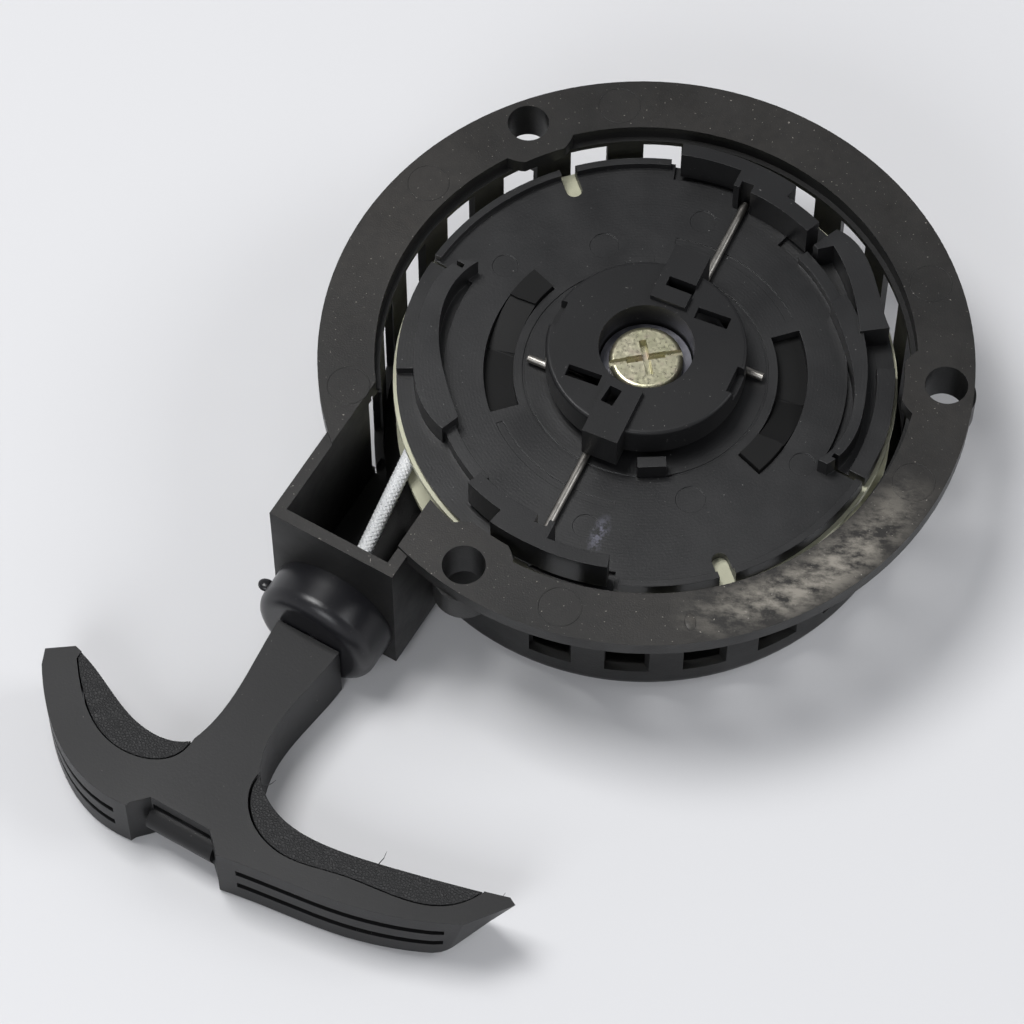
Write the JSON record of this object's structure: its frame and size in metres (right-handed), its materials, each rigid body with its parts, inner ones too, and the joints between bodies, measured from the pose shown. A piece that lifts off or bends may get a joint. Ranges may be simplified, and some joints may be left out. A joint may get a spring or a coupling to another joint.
{
  "type": "recoil starter",
  "caption": "Pull starter for a small two-stroke engine: vented cup housing with a mounting flange, rope reel, drive disc with swinging pawls and a T-shaped pull handle.",
  "frame": {"origin": "centre of the mounting flange on its mounting face, which is the open side that meets the engine", "axes": "+Z along the reel axis towards the engine, +X through one of the three mounting holes; the handle lies towards -X -Y"},
  "size_m": [0.2034, 0.2098, 0.0498],
  "materials": {
    "housing_nylon": "black glass-filled nylon, rough satin",
    "eyelet_steel": "plated steel",
    "seat_plastic": "smooth black",
    "handle_plastic": "black satin",
    "grip_soft": "fine leather grain",
    "rope_braid": "braided",
    "reel_nylon": "natural nylon, cream",
    "spring_steel": "blued spring steel",
    "plate_steel": "thin zinc-plated steel",
    "disc_nylon": "black nylon with a turned sheen",
    "pawl_nylon": "black satin",
    "hub_nylon": "black satin",
    "wire_steel": "drawn steel wire",
    "yellow_zinc": "yellow zinc plate"
  },
  "bodies": {
    "base": {"housing": "housing_nylon", "rope_eyelet": "eyelet_steel", "handle_seat": "seat_plastic", "center_screw": "yellow_zinc", "screw_washer": "plate_steel", "post_sleeve": "plate_steel", "recoil_spring": "spring_steel", "spring_plate": "plate_steel"},
    "rotor": {"rope_reel": "reel_nylon", "drive_disc": "disc_nylon", "coupling_ring": "disc_nylon", "rope_coil": "rope_braid", "reel_knot": "rope_braid", "damper_spring": "spring_steel"},
    "hub": {"friction_hub": "hub_nylon", "hub_wire_a": "wire_steel", "hub_wire_b": "wire_steel", "friction_spring": "spring_steel"},
    "pawl_a": {"pawl_a": "pawl_nylon"},
    "pawl_b": {"pawl_b": "pawl_nylon"},
    "handle": {"handle_body": "handle_plastic", "handle_grip_left": "grip_soft", "handle_grip_right": "grip_soft", "handle_knot": "rope_braid", "rope_run": "rope_braid"}
  },
  "joints": [
    {"name": "handle_pull", "type": "slide", "parent": "base", "child": "handle", "axis": [-0.4035, -0.915, 0], "range_m": [0, 0.55], "stiffness_N_per_m": 20, "springref_m": -0.3, "deforming": ["rope_run"]},
    {"name": "reel_turn", "type": "hinge", "parent": "base", "child": "rotor", "pos_m": [0, 0, 0], "axis": [0, 0, 1], "range_deg": [0, 810], "deforming": ["recoil_spring"]},
    {"name": "hub_lag", "type": "hinge", "parent": "rotor", "child": "hub", "pos_m": [0, 0, 0], "axis": [0, 0, 1], "range_deg": [-0.8, 0]},
    {"name": "pawl_a_swing", "type": "hinge", "parent": "rotor", "child": "pawl_a", "pos_m": [-0.02133, -0.05026, -0.008], "axis": [0, 0, 1], "range_deg": [0, 9]},
    {"name": "pawl_b_swing", "type": "hinge", "parent": "rotor", "child": "pawl_b", "pos_m": [0.02133, 0.05026, -0.008], "axis": [0, 0, 1], "range_deg": [0, 9]}
  ],
  "couplings": [
    {"joint": "reel_turn", "follows": "handle_pull", "rad_per_m": 25.641},
    {"joint": "pawl_a_swing", "follows": "hub_lag", "ratio": -11},
    {"joint": "pawl_b_swing", "follows": "hub_lag", "ratio": -11}
  ]
}
